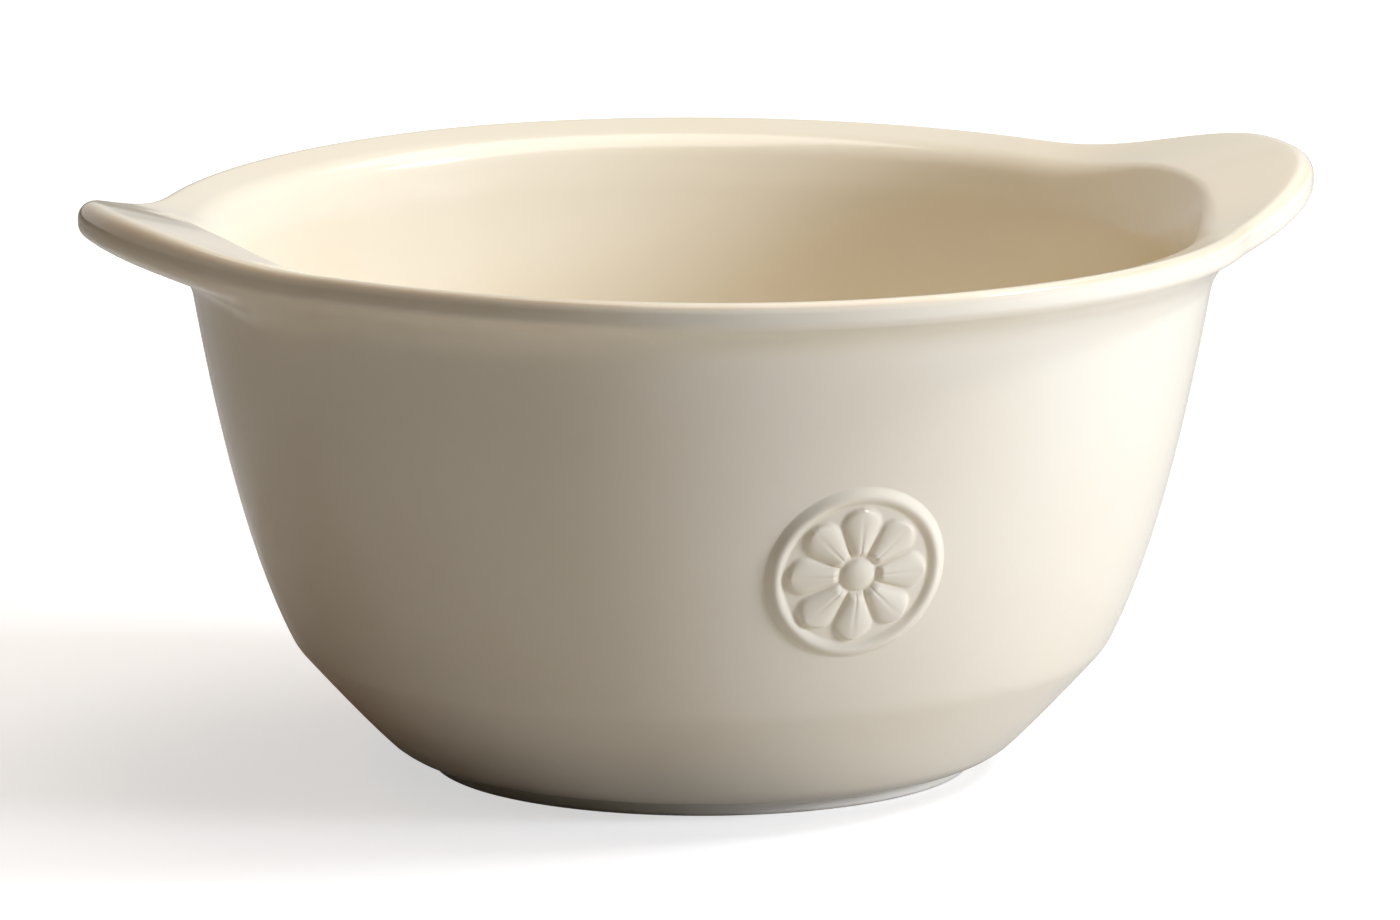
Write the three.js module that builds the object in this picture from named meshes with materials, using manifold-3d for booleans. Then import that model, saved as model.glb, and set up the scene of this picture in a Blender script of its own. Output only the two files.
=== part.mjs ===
// Gratin bowl with two pulled ears, in glazed ceramic.
// Millimetres, +Z up. The origin is on the bowl's axis, in the plane that the foot ring stands on.
// X runs through the two ears, and the seal faces -Y.

import * as THREE from 'three';
import { mergeVertices } from 'three/addons/utils/BufferGeometryUtils.js';
import Module from 'manifold-3d';

// Foot ring
const FOOT_RADIUS = 36.2; // outer side of the ring
const FOOT_WIDTH = 5; // of the ring, from its inner to its outer side
const FOOT_HEIGHT = 2;
const FOOT_EDGE = 0.6; // rounding of the tread's two edges

// Body
const BASE_RADIUS = 39.5; // flat underside
const CREASE_RADIUS = 54.3; // crease where the chamfer turns into the wall
const CREASE_HEIGHT = 16.9;
const CHAMFER_BELLY = 0.95; // how far the chamfer's guide point stands off its chord
const CHAMFER_BELLY_SHARE = 0.12; // of the chord, up to that point
const WALL_BELLY = 3.55; // the same two for the wall
const WALL_BELLY_SHARE = 0.31;
const WALL = 4.2; // thickness
const FLOOR = 5; // thickness
const FLOOR_RADIUS = 26; // flat part of the floor inside
const FLOOR_SWEEP = 11; // reach of the curve between the floor and the inner wall

// Flared rim
const RIM_RADIUS = 73.5; // outermost edge between the ears
const RIM_HEIGHT = 74.8; // crest between the ears
const EDGE_RADIUS = 1.35; // rounding of the rim's upper and lower edge
const EDGE_SIDE = 1.1; // flat side between these two
const NECK_INSET = 5.6; // from the rim's edge in to the neck, where the wall ends
const NECK_DROP = 9.2; // from the crest down to the neck
const NECK_GUIDE = 2.5; // guide point of the fall to the neck inside, above the neck
const KNEE_INSET = 7.6; // from the rim's edge in to the knee, where its slope turns down
const KNEE_DROP = 1.7; // from the crest down to the knee
const KNEE_EASE = 2.6; // length that the rounding of the knee takes off each side
const ROOT_EASE = 0.4; // share of the underside's chord over which it eases out of the wall
const EDGE_EASE = 0.4; // the same where it eases into the rim's edge

// Ears, whose measures are those of the rim at their middle
const EAR_REACH = 11.1; // beyond the rim's edge
const EAR_RISE = 4.5; // above the rim's crest
const EAR_PLAN_ANGLE = 34; // degrees from the middle of the ear to where its reach begins
const EAR_RISE_ANGLE = 30.5; // degrees from the middle of the ear to where its rise begins
const EAR_EDGE_RADIUS = 1.6;
const EAR_EDGE_SIDE = 1.8;
const EAR_BROW_INSET = 16.2; // from the ear's tip in to the brow, as the rim's knee is called there
const EAR_BROW_DROP = 3.5;
const EAR_BROW_EASE = 0.9;
const EAR_ROOT_EASE = 0.22;
const EAR_ROOT_DROP = 1.7; // how far below the neck the underside meets the wall, beside the middle
const EAR_SEAT_DROP = 2.5; // from there down to the seat of the ear in the rim's notch

// Seal
const SEAL_RADIUS = 12.1;
const SEAL_HEIGHT = 36.7; // of its centre
const SEAL_EDGE = 0.7; // thickness at the thinnest place of its edge
const BEAD_WIDTH = 1.8; // raised ring along the edge
const BEAD_RELIEF = 0.7; // of that ring above the wall
const ROSETTE_RELIEF = 0.9; // of the rosette above the wall
const PETALS = 8;
const PETAL_REACH = 9.5; // from the centre to a petal's tip
const CLEFT_REACH = 7.4; // from the centre to the notch between two petals
const BUTTON_RADIUS = 2.4; // round middle of the rosette

// Slip joint around the ears' ends and the seal
const CLEARANCE = 0.3;

// Angle at which the rounding of the rim's lower edge begins, from straight out, in degrees
const RIM_UNDER = -60;
const EAR_UNDER = -52;

// Steps along the curves
const SEGMENTS = 72;
const EAR_STEPS = 26;
const CURVE_STEPS = 6;
const EDGE_STEPS = 4; // around each of the rim's roundings
const FIELD_RINGS = 10;
const BEAD_RINGS = 4;
const STEPS_PER_PETAL = 6;
const WELD = 1e-4; // distance within which corners are one

const GLAZE = new THREE.MeshStandardMaterial({ color: 0xefe5d0, roughness: 0.15, metalness: 0 });
const BARE_CLAY = new THREE.MeshStandardMaterial({ color: 0xe2d3ba, roughness: 0.7, metalness: 0 });

const wasm = await Module();
wasm.setup();

const radians = THREE.MathUtils.degToRad;
const mix = THREE.MathUtils.lerp;

// Curves of the section, with x as the radius and y as the height

function onCircle(centre, radius, angle) {
  return new THREE.Vector2(Math.cos(angle), Math.sin(angle)).multiplyScalar(radius).add(centre);
}

// Curve from one point to another whose guide point stands off the chord, outwards.
function bulgedCurve(from, to, belly, share) {
  const chord = to.clone().sub(from);
  const outward = new THREE.Vector2(chord.y, -chord.x).normalize();
  const guide = from.clone().addScaledVector(chord, share).addScaledVector(outward, belly);
  return new THREE.QuadraticBezierCurve(from, guide, to);
}

// Curve that leaves one point and reaches another along given directions.
function easedCurve(from, leave, leaveReach, to, arrive, arriveReach) {
  const first = from.clone().addScaledVector(leave, leaveReach);
  const second = to.clone().addScaledVector(arrive, -arriveReach);
  return new THREE.CubicBezierCurve(from, first, second, to);
}

// Value between two ends where a test that is true at the low end stops being true.
function turningValue(low, high, test) {
  let [below, above] = [low, high];
  let middle = (below + above) / 2;
  while (below < middle && middle < above) {
    if (test(middle)) below = middle;
    else above = middle;
    middle = (below + above) / 2;
  }
  return middle;
}

const CREASE = new THREE.Vector2(CREASE_RADIUS, CREASE_HEIGHT);
const NECK = new THREE.Vector2(RIM_RADIUS - NECK_INSET, RIM_HEIGHT - NECK_DROP);
const BASE = new THREE.Vector2(BASE_RADIUS, FOOT_HEIGHT);
const chamfer = bulgedCurve(BASE, CREASE, CHAMFER_BELLY, CHAMFER_BELLY_SHARE);
const wall = bulgedCurve(CREASE, NECK, WALL_BELLY, WALL_BELLY_SHARE);

function wallParameter(height) {
  return turningValue(0, 1, (t) => wall.getPoint(t).y < height);
}

function innerWallPoint(t) {
  const tangent = wall.getTangent(t);
  const inward = new THREE.Vector2(-tangent.y, tangent.x);
  return wall.getPoint(t).addScaledVector(inward, WALL);
}

// Slope from the rim's crest over the knee, which is rounded, and down to the neck inside.
function innerSlope(crest, knee, ease) {
  const neck = innerWallPoint(1);
  const guide = neck.clone().addScaledVector(wall.getTangent(1), NECK_GUIDE);
  const fall = new THREE.QuadraticBezierCurve(knee, guide, neck);
  const first = ease / (2 * knee.distanceTo(guide));
  const before = knee.clone().addScaledVector(crest.clone().sub(knee).normalize(), ease);
  const corner = new THREE.QuadraticBezierCurve(before, knee, fall.getPoint(first));
  const points = corner.getPoints(EDGE_STEPS);
  for (let step = 1; step <= EDGE_STEPS; step += 1) {
    points.push(fall.getPoint(mix(first, 1, step / EDGE_STEPS)));
  }
  return points;
}

// Rim section from the wall outside, over the rim's edge, to the neck inside. Reach and rise run
// from 0, the plain rim, to 1, the middle of an ear.
function rimSection(reach, rise) {
  const edge = mix(EDGE_RADIUS, EAR_EDGE_RADIUS, reach);
  const under = radians(mix(RIM_UNDER, EAR_UNDER, reach));
  const outside = RIM_RADIUS + EAR_REACH * reach;
  const top = RIM_HEIGHT + EAR_RISE * rise;
  const high = new THREE.Vector2(outside - edge, top - edge);
  const low = high.clone().setY(high.y - mix(EDGE_SIDE, EAR_EDGE_SIDE, reach));
  const knee = new THREE.Vector2(
    outside - mix(KNEE_INSET, EAR_BROW_INSET, reach),
    top - mix(KNEE_DROP, EAR_BROW_DROP, reach),
  );

  const root = wallParameter(NECK.y - EAR_ROOT_DROP * Math.sin(Math.PI * reach));
  const start = wall.getPoint(root);
  const end = onCircle(low, edge, under);
  const length = start.distanceTo(end);
  const arrive = onCircle(new THREE.Vector2(), 1, under + Math.PI / 2);
  const rootReach = length * mix(ROOT_EASE, EAR_ROOT_EASE, reach);
  const cove = easedCurve(start, wall.getTangent(root), rootReach, end, arrive, length * EDGE_EASE);

  const away = knee.clone().sub(high);
  const crest = away.angle() - Math.acos(edge / away.length());
  const lowEdge = new THREE.EllipseCurve(low.x, low.y, edge, edge, under, 0);
  const highEdge = new THREE.EllipseCurve(high.x, high.y, edge, edge, 0, crest);

  return [
    ...cove.getPoints(CURVE_STEPS),
    ...lowEdge.getPoints(EDGE_STEPS).slice(1),
    ...highEdge.getPoints(EDGE_STEPS),
    ...innerSlope(onCircle(high, edge, crest), knee, mix(KNEE_EASE, EAR_BROW_EASE, reach)),
  ];
}

// Solids

function solidOf(geometry) {
  const bare = geometry.clone();
  bare.deleteAttribute('normal');
  bare.deleteAttribute('uv');
  const merged = mergeVertices(bare, WELD);
  const corners = merged.index.array;
  const triangles = [];
  for (let i = 0; i < corners.length; i += 3) {
    const [a, b, c] = corners.slice(i, i + 3);
    if (a !== b && b !== c && c !== a) triangles.push(a, b, c);
  }
  const mesh = new wasm.Mesh({
    numProp: 3,
    vertProperties: new Float32Array(merged.attributes.position.array),
    triVerts: new Uint32Array(triangles),
  });
  return new wasm.Manifold(mesh);
}

function geometryOf(solid) {
  const mesh = solid.getMesh();
  const geometry = new THREE.BufferGeometry();
  geometry.setAttribute('position', new THREE.BufferAttribute(mesh.vertProperties, 3));
  geometry.setIndex(new THREE.BufferAttribute(mesh.triVerts, 1));
  geometry.computeVertexNormals();
  return geometry;
}

function indexedGeometry(points, triangles) {
  const geometry = new THREE.BufferGeometry();
  geometry.setFromPoints(points);
  geometry.setIndex(triangles);
  geometry.computeVertexNormals();
  return geometry;
}

function turned(profile) {
  return new THREE.LatheGeometry(profile, SEGMENTS).rotateX(Math.PI / 2);
}

// Ears: the rim section swept across the notch, with its reach and rise swelling to the middle

const EAR_SEAT_HEIGHT = NECK.y - EAR_ROOT_DROP - EAR_SEAT_DROP;

function swell(angle, halfAngle) {
  return THREE.MathUtils.smootherstep(halfAngle - Math.abs(angle), 0, halfAngle);
}

function earGeometry() {
  const outerAt = wallParameter(EAR_SEAT_HEIGHT);
  const innerAt = turningValue(0, 1, (t) => innerWallPoint(t).y < EAR_SEAT_HEIGHT);
  const outerSeat = new THREE.Vector2(wall.getPoint(outerAt).x, EAR_SEAT_HEIGHT);
  const innerSeat = new THREE.Vector2(innerWallPoint(innerAt).x, EAR_SEAT_HEIGHT);
  const joint = Math.asin(CLEARANCE / innerSeat.x);
  const half = radians(EAR_PLAN_ANGLE) - joint;
  const points = [];
  const triangles = [];
  const caps = [];
  let count = 0;
  for (let step = 0; step <= EAR_STEPS; step += 1) {
    const angle = mix(-half, half, step / EAR_STEPS);
    const reach = swell(angle, radians(EAR_PLAN_ANGLE));
    const rise = swell(angle, radians(EAR_RISE_ANGLE));
    const section = [outerSeat, ...rimSection(reach, rise), innerSeat];
    count = section.length;
    for (const { x, y } of section) {
      points.push(new THREE.Vector3(x * Math.cos(angle), x * Math.sin(angle), y));
    }
    if (step === 0 || step === EAR_STEPS) caps.push(THREE.ShapeUtils.triangulateShape(section, []));
  }
  for (let step = 0; step < EAR_STEPS; step += 1) {
    for (let j = 0; j < count; j += 1) {
      const next = (j + 1) % count;
      const near = step * count;
      const far = near + count;
      triangles.push(near + j, far + j, far + next, near + j, far + next, near + next);
    }
  }
  const last = EAR_STEPS * count;
  for (const [a, b, c] of caps[0]) triangles.push(a, b, c);
  for (const [a, b, c] of caps[1]) triangles.push(last + a, last + c, last + b);
  return indexedGeometry(points, triangles);
}

// Wedge that clears the rim for one ear
function notch(turn) {
  const half = radians(EAR_PLAN_ANGLE);
  const clear = 2 * RIM_RADIUS;
  const outline = new THREE.Shape();
  outline.moveTo(0, 0);
  outline.lineTo(clear * Math.cos(half), -clear * Math.sin(half));
  outline.absarc(0, 0, clear, -half, half, false);
  const geometry = new THREE.ExtrudeGeometry(outline, { depth: RIM_HEIGHT, bevelEnabled: false });
  return solidOf(geometry.translate(0, 0, EAR_SEAT_HEIGHT).rotateZ(turn));
}

// Seal: a flat-backed disc in a round seat, whose front follows the wall under a ringed rosette

const sealAt = wallParameter(SEAL_HEIGHT);
const sealCentre = wall.getPoint(sealAt);
const sealTangent = wall.getTangent(sealAt);
const SEAL_UP = new THREE.Vector3(0, -sealTangent.x, sealTangent.y);
const SEAL_OUT = new THREE.Vector3(0, -sealTangent.y, -sealTangent.x);
const SEAL_FRAME = new THREE.Matrix4()
  .makeBasis(new THREE.Vector3(1, 0, 0), SEAL_UP, SEAL_OUT)
  .setPosition(0, -sealCentre.x, sealCentre.y);

// Height of the wall's outside above the plane that touches it at the seal's centre.
function wallAbovePlane(x, y) {
  return turningValue(-SEAL_RADIUS, SEAL_RADIUS, (height) => {
    const point = new THREE.Vector3(x, y, height).applyMatrix4(SEAL_FRAME);
    return Math.hypot(point.x, point.y) < wall.getPoint(wallParameter(point.z)).x;
  });
}

// Rosette: a round button with petals around it, each domed along and across.
function rosette(radius, angle) {
  const across = Math.abs(Math.cos((PETALS * angle) / 2));
  const reach = mix(CLEFT_REACH, PETAL_REACH, across);
  const along = THREE.MathUtils.clamp((radius - BUTTON_RADIUS) / (reach - BUTTON_RADIUS), 0, 1);
  const petal = Math.sqrt(across * Math.sin(Math.PI * along));
  const button = Math.sqrt(Math.max(0, 1 - (radius / BUTTON_RADIUS) ** 2));
  return ROSETTE_RELIEF * Math.max(button, petal);
}

function bead(radius) {
  const across = THREE.MathUtils.clamp((SEAL_RADIUS - radius) / BEAD_WIDTH, 0, 1);
  return BEAD_RELIEF * Math.sqrt(Math.sin(Math.PI * across));
}

function sealRadii() {
  const field = SEAL_RADIUS - BEAD_WIDTH;
  const radii = [];
  for (let ring = 1; ring <= FIELD_RINGS; ring += 1) radii.push((field * ring) / FIELD_RINGS);
  for (let ring = 1; ring <= BEAD_RINGS; ring += 1) radii.push(field + (BEAD_WIDTH * ring) / BEAD_RINGS);
  return radii;
}

const SEAL_DEPTH = SEAL_EDGE - wallAbovePlane(SEAL_RADIUS, 0);

function sealGeometry() {
  const sectors = PETALS * STEPS_PER_PETAL;
  const radii = sealRadii();
  const rings = radii.length;
  const points = [new THREE.Vector3(0, 0, rosette(0, 0)), new THREE.Vector3(0, 0, -SEAL_DEPTH)];
  const triangles = [];
  const at = (ring, sector) => 2 + ring * sectors + (sector % sectors);
  for (let ring = 0; ring <= rings; ring += 1) {
    const radius = ring < rings ? radii[ring] : SEAL_RADIUS;
    for (let sector = 0; sector < sectors; sector += 1) {
      const angle = (2 * Math.PI * sector) / sectors;
      const x = radius * Math.cos(angle);
      const y = radius * Math.sin(angle);
      const front = wallAbovePlane(x, y) + Math.max(rosette(radius, angle), bead(radius));
      points.push(new THREE.Vector3(x, y, ring < rings ? front : -SEAL_DEPTH));
    }
  }
  for (let sector = 0; sector < sectors; sector += 1) {
    triangles.push(0, at(0, sector), at(0, sector + 1));
    triangles.push(1, at(rings, sector + 1), at(rings, sector));
    for (let ring = 0; ring < rings; ring += 1) {
      triangles.push(at(ring, sector), at(ring + 1, sector), at(ring + 1, sector + 1));
      triangles.push(at(ring, sector), at(ring + 1, sector + 1), at(ring, sector + 1));
    }
  }
  return indexedGeometry(points, triangles);
}

function sealSeat() {
  const depth = SEAL_DEPTH + CLEARANCE;
  const length = depth + SEAL_RADIUS;
  const cutter = new THREE.CylinderGeometry(
    SEAL_RADIUS + CLEARANCE,
    SEAL_RADIUS + CLEARANCE,
    length,
    PETALS * STEPS_PER_PETAL,
  );
  cutter.rotateX(Math.PI / 2).translate(0, 0, length / 2 - depth).applyMatrix4(SEAL_FRAME);
  return solidOf(cutter);
}

// Body: one turned shell, notched for the ears and recessed for the seal

function bodyGeometry() {
  const innerCrease = innerWallPoint(0);
  const floorEdge = new THREE.Vector2(FLOOR_RADIUS, FOOT_HEIGHT + FLOOR);
  const sweep = easedCurve(
    innerCrease,
    wall.getTangent(0).negate(),
    FLOOR_SWEEP,
    floorEdge,
    new THREE.Vector2(-1, 0),
    FLOOR_SWEEP,
  );
  const innerWall = [];
  for (let step = 1; step < CURVE_STEPS; step += 1) {
    innerWall.push(innerWallPoint(1 - step / CURVE_STEPS));
  }
  const profile = [
    new THREE.Vector2(0, FOOT_HEIGHT),
    ...chamfer.getPoints(CURVE_STEPS),
    ...wall.getPoints(CURVE_STEPS).slice(1, -1),
    ...rimSection(0, 0),
    ...innerWall,
    ...sweep.getPoints(CURVE_STEPS),
    new THREE.Vector2(0, floorEdge.y),
  ];
  const shell = solidOf(turned(profile));
  return geometryOf(shell.subtract(notch(0)).subtract(notch(Math.PI)).subtract(sealSeat()));
}

function footGeometry() {
  const edge = Math.min(FOOT_EDGE, FOOT_HEIGHT / 2, FOOT_WIDTH / 2);
  const inside = FOOT_RADIUS - FOOT_WIDTH;
  const outline = new THREE.Path();
  outline.moveTo(inside, FOOT_HEIGHT);
  outline.lineTo(inside, edge);
  outline.absarc(inside + edge, edge, edge, Math.PI, 1.5 * Math.PI, false);
  outline.absarc(FOOT_RADIUS - edge, edge, edge, 1.5 * Math.PI, 2 * Math.PI, false);
  outline.lineTo(FOOT_RADIUS, FOOT_HEIGHT);
  outline.lineTo(inside, FOOT_HEIGHT);
  return turned(outline.getPoints(2));
}

// Assembly

function piece(name, geometry, material) {
  const mesh = new THREE.Mesh(geometry, material);
  mesh.name = name;
  return mesh;
}

const bowl = new THREE.Group();
bowl.add(piece('bowl_body', bodyGeometry(), GLAZE.clone()));
bowl.add(piece('right_ear', earGeometry(), GLAZE.clone()));

const leftEar = piece('left_ear', earGeometry(), GLAZE.clone());
leftEar.rotation.z = Math.PI;
bowl.add(leftEar);

bowl.add(piece('foot_ring', footGeometry(), BARE_CLAY.clone()));

const seal = piece('seal', sealGeometry(), GLAZE.clone());
seal.position.setFromMatrixPosition(SEAL_FRAME);
seal.quaternion.setFromRotationMatrix(SEAL_FRAME);
bowl.add(seal);

export default bowl;
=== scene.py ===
"""Gratin bowl with two pulled ears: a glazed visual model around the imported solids.

Metres, +Z up. X runs through the two ears and the seal faces -Y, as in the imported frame.
"""

import logging
import math
from dataclasses import astuple, dataclass
from enum import Enum

import bpy
import numpy as np
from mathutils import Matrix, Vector

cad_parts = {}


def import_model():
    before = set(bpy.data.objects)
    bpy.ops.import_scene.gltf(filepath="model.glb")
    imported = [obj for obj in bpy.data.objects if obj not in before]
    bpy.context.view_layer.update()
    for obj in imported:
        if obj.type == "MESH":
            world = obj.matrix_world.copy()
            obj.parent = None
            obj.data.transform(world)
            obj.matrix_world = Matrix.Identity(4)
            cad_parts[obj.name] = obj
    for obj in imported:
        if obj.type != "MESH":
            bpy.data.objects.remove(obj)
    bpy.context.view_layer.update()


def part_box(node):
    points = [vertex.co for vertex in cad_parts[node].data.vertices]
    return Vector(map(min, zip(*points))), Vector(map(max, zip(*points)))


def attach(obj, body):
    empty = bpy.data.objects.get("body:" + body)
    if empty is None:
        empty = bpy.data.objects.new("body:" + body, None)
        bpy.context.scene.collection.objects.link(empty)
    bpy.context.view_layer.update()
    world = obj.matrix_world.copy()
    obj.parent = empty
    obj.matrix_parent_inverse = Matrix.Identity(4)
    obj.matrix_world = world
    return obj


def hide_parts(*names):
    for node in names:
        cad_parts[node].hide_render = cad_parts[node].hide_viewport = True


LOG = logging.getLogger("gratin_bowl")
BODY = "root"
# Point attribute that holds the painted shade line along the rim's upper edge.
EDGE_SHADE_ATTRIBUTE = "painted_edge_shade"
WELD = 1e-6
START_SIZE = 0.01
CURVE_SAMPLES = 2001
# Nearly all values of a noise lie in this range.
NOISE_RANGE = (0.3, 0.7)
WHITE = (1.0, 1.0, 1.0, 1.0)

Colour = tuple[float, float, float]


class Slot(Enum):
    """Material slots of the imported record."""

    GLAZE = "glaze"
    FOOT_CLAY = "foot_clay"


class Ear(Enum):
    """Ears, by the angle of their middle around the bowl's axis, in degrees."""

    RIGHT = 0.0
    LEFT = 180.0


def direction(angle: float) -> np.ndarray:
    """Give the unit vector at an angle in radians."""
    return np.array([math.cos(angle), math.sin(angle)])


def mix(low: float, high: float, share: float) -> float:
    """Give the value at a share of the way between two values."""
    return low + (high - low) * share


def curve_through(guides: list[np.ndarray], shares: np.ndarray) -> np.ndarray:
    """Give points on the Bezier curve of some guide points.

    Args:
        guides: The curve's guide points, the first and last of which lie on it.
        shares: Places along the curve, from 0 to 1.

    Returns:
        One row for each place.
    """
    points = [np.outer(np.ones_like(shares), guide) for guide in guides]
    across = shares[:, None]
    while len(points) > 1:
        points = [a * (1 - across) + b * across for a, b in zip(points, points[1:])]
    return points[0]


def steps(count: int, first: float = 0.0, last: float = 1.0) -> np.ndarray:
    """Give evenly spread values after the first one, up to and with the last."""
    return np.linspace(first, last, count + 1)[1:]


@dataclass(frozen=True)
class Rim:
    """Measures of the rim's section at one place around the bowl.

    The edge is rounded above and below a straight side. From its crest the rim slopes in to the knee,
    where it turns down into the bowl. Under the rim a hollow runs from the wall out to the lower edge.

    Attributes:
        edge: Radius of the edge's two roundings.
        side: Height of the straight side between them.
        knee_inset: From the edge in to the knee.
        knee_drop: From the crest down to the knee.
        knee_ease: Length that the rounding of the knee takes off each side.
        root_ease: Pull of the hollow along the wall, as a share of its length.
        under: Angle around the lower edge's rounding at which the hollow meets it.
    """

    edge: float
    side: float
    knee_inset: float
    knee_drop: float
    knee_ease: float
    root_ease: float
    under: float

    def towards(self, other: "Rim", share: float) -> "Rim":
        """Give the rim at a share of the way to another one."""
        return Rim(*(mix(mine, its, share) for mine, its in zip(astuple(self), astuple(other))))


PLAIN_RIM = Rim(
    edge=0.00135,
    side=0.0011,
    knee_inset=0.0076,
    knee_drop=0.0017,
    knee_ease=0.0026,
    root_ease=0.40,
    under=math.radians(-60),
)
EAR_RIM = Rim(
    edge=0.00215,
    side=0.0007,
    knee_inset=0.0162,
    knee_drop=0.0035,
    knee_ease=0.0009,
    root_ease=0.22,
    under=math.radians(-52),
)


@dataclass(frozen=True)
class BowlSection:
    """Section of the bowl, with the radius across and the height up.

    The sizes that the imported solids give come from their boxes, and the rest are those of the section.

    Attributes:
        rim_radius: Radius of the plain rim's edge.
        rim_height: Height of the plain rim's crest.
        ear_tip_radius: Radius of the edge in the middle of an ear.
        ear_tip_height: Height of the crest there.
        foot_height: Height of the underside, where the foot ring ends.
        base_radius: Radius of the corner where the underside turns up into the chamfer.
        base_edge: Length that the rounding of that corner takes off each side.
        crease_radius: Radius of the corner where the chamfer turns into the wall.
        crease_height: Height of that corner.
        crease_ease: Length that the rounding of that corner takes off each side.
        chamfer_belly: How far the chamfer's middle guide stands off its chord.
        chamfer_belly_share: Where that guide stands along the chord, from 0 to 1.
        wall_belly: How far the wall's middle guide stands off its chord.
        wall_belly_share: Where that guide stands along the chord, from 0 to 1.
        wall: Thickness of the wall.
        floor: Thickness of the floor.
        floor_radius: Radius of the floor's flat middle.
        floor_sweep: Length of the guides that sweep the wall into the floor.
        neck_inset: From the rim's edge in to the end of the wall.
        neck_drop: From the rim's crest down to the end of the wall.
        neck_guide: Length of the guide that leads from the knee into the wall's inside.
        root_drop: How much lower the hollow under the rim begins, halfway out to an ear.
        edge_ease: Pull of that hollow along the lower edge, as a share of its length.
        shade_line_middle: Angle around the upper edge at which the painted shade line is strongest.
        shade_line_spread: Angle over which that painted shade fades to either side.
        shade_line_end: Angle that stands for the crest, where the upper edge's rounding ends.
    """

    rim_radius: float
    rim_height: float
    ear_tip_radius: float
    ear_tip_height: float
    foot_height: float
    base_radius: float = 0.0395
    base_edge: float = 0.0016
    crease_radius: float = 0.0543
    crease_height: float = 0.0169
    crease_ease: float = 0.0011
    chamfer_belly: float = 0.00095
    chamfer_belly_share: float = 0.12
    wall_belly: float = 0.00355
    wall_belly_share: float = 0.31
    wall: float = 0.0042
    floor: float = 0.0050
    floor_radius: float = 0.0260
    floor_sweep: float = 0.0110
    neck_inset: float = 0.0056
    neck_drop: float = 0.0092
    neck_guide: float = 0.0025
    root_drop: float = 0.0017
    edge_ease: float = 0.4
    # Where the painted shade line lies on the rounding of the rim's upper edge.
    shade_line_middle: float = math.radians(52)
    shade_line_spread: float = math.radians(24)
    shade_line_end: float = math.radians(115)

    UNDERSIDE_STEPS = 9
    BASE_EDGE_STEPS = 5
    CHAMFER_STEPS = 16
    CREASE_STEPS = 6
    WALL_STEPS = 36
    COVE_STEPS = 16
    LOW_EDGE_STEPS = 6
    EDGE_STEPS = 10
    SLOPE_STEPS = 10
    KNEE_STEPS = 10
    FALL_STEPS = 12
    INNER_STEPS = 30
    SWEEP_STEPS = 16
    FLOOR_STEPS = 7

    @classmethod
    def from_frame(cls) -> "BowlSection":
        """Read the rim's, ears' and foot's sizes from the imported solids."""
        body_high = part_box("bowl_body")[1]
        ear_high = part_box("right_ear")[1]
        return cls(
            rim_radius=body_high[1],
            rim_height=body_high[2],
            ear_tip_radius=ear_high[0],
            ear_tip_height=ear_high[2],
            foot_height=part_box("foot_ring")[1][2],
        )

    @property
    def crease(self) -> np.ndarray:
        """Corner where the chamfer turns into the wall."""
        return np.array([self.crease_radius, self.crease_height])

    @property
    def neck(self) -> np.ndarray:
        """Point where the wall ends and the rim begins."""
        return np.array([self.rim_radius - self.neck_inset, self.rim_height - self.neck_drop])

    @staticmethod
    def bulged(start: np.ndarray, end: np.ndarray, belly: float, share: float) -> list[np.ndarray]:
        """Give the guide points of a curve that stands off its chord, outwards."""
        chord = end - start
        outward = np.array([chord[1], -chord[0]]) / np.linalg.norm(chord)
        return [start, start + chord * share + outward * belly, end]

    def chamfer_guides(self) -> list[np.ndarray]:
        """Give the guide points of the chamfer between the base and the crease."""
        base = np.array([self.base_radius, self.foot_height])
        return self.bulged(base, self.crease, self.chamfer_belly, self.chamfer_belly_share)

    def wall_guides(self) -> list[np.ndarray]:
        """Give the guide points of the wall's outside."""
        return self.bulged(self.crease, self.neck, self.wall_belly, self.wall_belly_share)

    def wall_points(self, shares: np.ndarray) -> np.ndarray:
        """Give points on the wall's outside."""
        return curve_through(self.wall_guides(), shares)

    def wall_tangents(self, shares: np.ndarray) -> np.ndarray:
        """Give unit tangents of the wall's outside, upwards."""
        first, guide, last = self.wall_guides()
        slopes = curve_through([guide - first, last - guide], shares)
        return slopes / np.linalg.norm(slopes, axis=1)[:, None]

    def inner_points(self, shares: np.ndarray) -> np.ndarray:
        """Give points on the wall's inside."""
        tangents = self.wall_tangents(shares)
        inward = np.stack([-tangents[:, 1], tangents[:, 0]], axis=1)
        return self.wall_points(shares) + inward * self.wall

    def wall_share(self, height: float) -> float:
        """Give the place along the wall's outside at a height."""
        shares = np.linspace(0, 1, CURVE_SAMPLES)
        return float(np.interp(height, self.wall_points(shares)[:, 1], shares))

    def wall_start(self) -> float:
        """Give the place along the wall where the rounding of the crease ends."""
        first, guide, _ = self.wall_guides()
        return self.crease_ease / float(2 * np.linalg.norm(guide - first))

    def under_side(self) -> np.ndarray:
        """Give the points from the axis along the flat underside and up the chamfer to the wall."""
        chamfer = self.chamfer_guides()
        first = self.base_edge / float(2 * np.linalg.norm(chamfer[1] - chamfer[0]))
        last = 1 - self.crease_ease / float(2 * np.linalg.norm(chamfer[2] - chamfer[1]))
        inner = np.array([self.base_radius - self.base_edge, self.foot_height])
        flat = np.linspace([0.0, self.foot_height], inner, self.UNDERSIDE_STEPS)
        lower = curve_through(chamfer, np.array([first, last]))
        edge = curve_through([inner, chamfer[0], lower[0]], steps(self.BASE_EDGE_STEPS))
        slope = curve_through(chamfer, steps(self.CHAMFER_STEPS, first, last))
        upper = self.wall_points(np.array([self.wall_start()]))[0]
        crease = curve_through([lower[1], self.crease, upper], steps(self.CREASE_STEPS))
        return np.vstack([flat, edge, slope, crease])

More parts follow.
